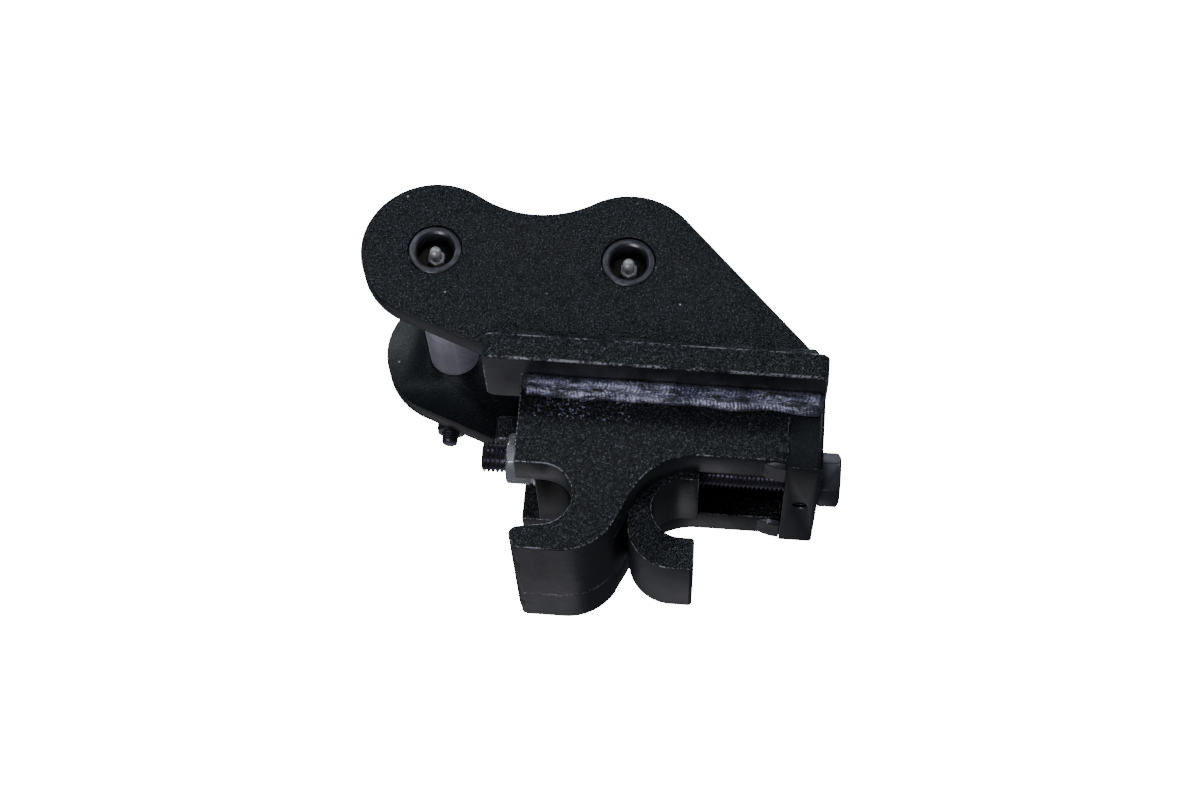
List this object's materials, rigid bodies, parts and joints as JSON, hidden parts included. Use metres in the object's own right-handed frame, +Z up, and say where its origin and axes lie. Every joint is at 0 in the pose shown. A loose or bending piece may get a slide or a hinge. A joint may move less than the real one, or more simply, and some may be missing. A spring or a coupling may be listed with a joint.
{
  "type": "quick coupler",
  "caption": "Screw-operated quick coupler for a small excavator: two pinned ears on a base, a fixed pin hook and a jaw that a long screw slides.",
  "frame": {"origin": "on the flat sole of the fixed hook, under the centre of its slot, on the mid-plane between the ears", "axes": "+X from the fixed hook towards the drive screw's head, +Z up through the sole towards the ears, +Y towards the ear that carries the pin collars"},
  "size_m": [0.2753, 0.1803, 0.2065],
  "materials": {
    "black_paint": "sandy black paint, satin, worn at the edges",
    "bare_steel": "ground steel, lightly oiled",
    "zinc": "bright zinc plate",
    "black_oxide": "black oxide, oiled"
  },
  "bodies": {
    "frame": {"ear_near": "black_paint", "ear_far": "black_paint", "base_bar_near": "black_paint", "base_bar_far": "black_paint", "deck_plate": "black_paint", "side_plate_near": "black_paint", "side_plate_far": "black_paint", "hook_core": "black_paint", "end_block": "black_paint", "stick_pin_collar": "black_paint", "link_pin_collar": "black_paint", "stick_pin": "bare_steel", "link_pin": "bare_steel", "stick_pin_nipple": "zinc", "link_pin_nipple": "zinc", "lock_set_screw": "black_oxide", "stick_pin_bolt": "black_oxide", "stick_pin_bolt_washer": "black_oxide", "stick_pin_bolt_nut": "black_oxide", "link_pin_bolt": "black_oxide", "link_pin_bolt_washer": "black_oxide", "link_pin_bolt_nut": "black_oxide"},
    "screw": {"drive_screw": "black_oxide", "screw_nut": "zinc", "front_washer": "zinc"},
    "jaw": {"moving_jaw": "black_paint", "drive_nut": "bare_steel"}
  },
  "joints": [
    {"name": "screw_spin", "type": "hinge", "parent": "frame", "child": "screw", "pos_m": [0.15, 0, 0.0735], "axis": [-1, 0, 0], "range_deg": [0, 5760]},
    {"name": "jaw_slide", "type": "slide", "parent": "frame", "child": "jaw", "axis": [1, 0, 0], "range_m": [0, 0.04]}
  ],
  "couplings": [
    {"joint": "screw_spin", "follows": "jaw_slide", "rad_per_m": 2513.3}
  ]
}
